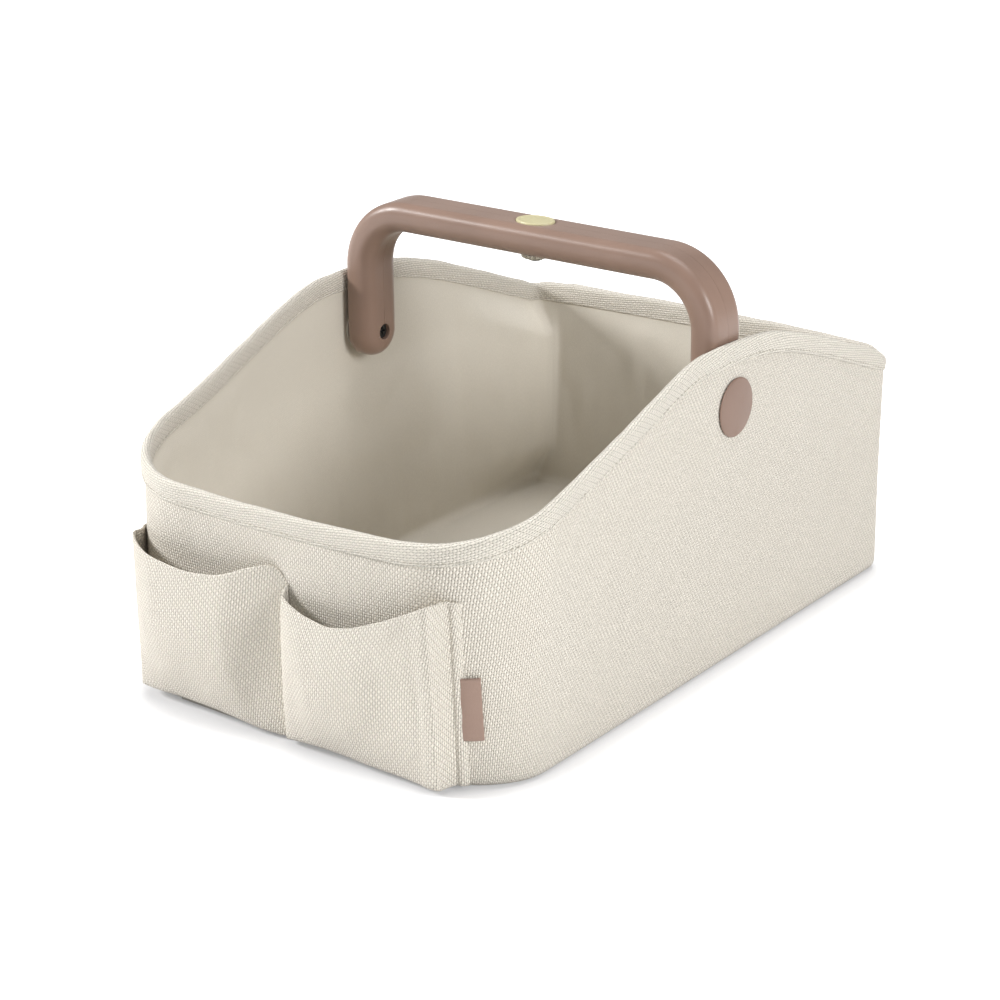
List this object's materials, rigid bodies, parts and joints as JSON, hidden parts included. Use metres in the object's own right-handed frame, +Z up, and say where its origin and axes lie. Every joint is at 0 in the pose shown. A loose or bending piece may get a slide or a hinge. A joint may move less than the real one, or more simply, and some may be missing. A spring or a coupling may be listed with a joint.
{
  "type": "nursery caddy",
  "caption": "Boat-shaped canvas nursery caddy with a raised-side rim, two front pockets and a swinging carry handle that holds a push-button night light.",
  "frame": {"origin": "centre of the whole caddy's box in plan, on the surface that the caddy stands on", "axes": "+X to the right as seen from the front, +Y from the pocket end to the square rear end, +Z up"},
  "size_m": [0.2398, 0.387, 0.2109],
  "materials": {
    "canvas": "cream basket-weave canvas",
    "lining_cloth": "smooth grey-beige lining",
    "stiffener": "plain pressed board",
    "mocha_plastic": "satin mocha plastic",
    "mocha_tab": "soft mocha tab",
    "dark_screw": "dark plated steel",
    "nickel": "nickel plated",
    "pale_nylon": "natural nylon",
    "button_plastic": "pale yellow-green plastic",
    "circuit": "solder mask",
    "black_plastic": "satin black",
    "clear_lens": "clear moulded lens",
    "led_body": "phosphor yellow",
    "cell_wrap": "printed foil wrap left plain",
    "red_sleeve": "red insulation",
    "black_sleeve": "black insulation"
  },
  "bodies": {
    "caddy": {"outer_wall": "canvas", "base_cover": "canvas", "base_board": "stiffener", "front_board": "stiffener", "rear_board": "stiffener", "left_board": "stiffener", "right_board": "stiffener", "lining": "lining_cloth", "rim_band": "canvas", "left_pocket": "canvas", "right_pocket": "canvas", "side_tab": "mocha_tab", "left_disc": "mocha_plastic", "right_disc": "mocha_plastic", "left_wall_washer": "pale_nylon", "right_wall_washer": "pale_nylon", "left_pivot_screw": "dark_screw", "right_pivot_screw": "dark_screw"},
    "handle": {"handle_front_shell": "mocha_plastic", "handle_rear_shell": "mocha_plastic", "battery_door": "mocha_plastic", "door_screw": "dark_screw", "shell_screw_1": "dark_screw", "shell_screw_2": "dark_screw", "shell_screw_3": "dark_screw", "shell_screw_4": "dark_screw", "front_battery": "cell_wrap", "rear_battery": "cell_wrap", "contact_bridge": "nickel", "contact_front": "nickel", "contact_rear": "nickel", "front_lead": "red_sleeve", "rear_lead": "black_sleeve", "light_board": "circuit", "led": "led_body", "lamp_lens": "clear_lens", "lamp_bezel": "nickel", "switch_body": "black_plastic"},
    "button": {"light_button": "button_plastic", "switch_plunger": "pale_nylon"}
  },
  "joints": [
    {"name": "handle_swing", "type": "hinge", "parent": "caddy", "child": "handle", "pos_m": [0, 0.02434, 0.1355], "axis": [1, 0, 0], "range_deg": [-90, 90]},
    {"name": "button_press", "type": "slide", "parent": "handle", "child": "button", "axis": [0, 0, -1], "range_m": [0, 0.0008], "stiffness_N_per_m": 1500, "springref_m": -0.0006}
  ]
}
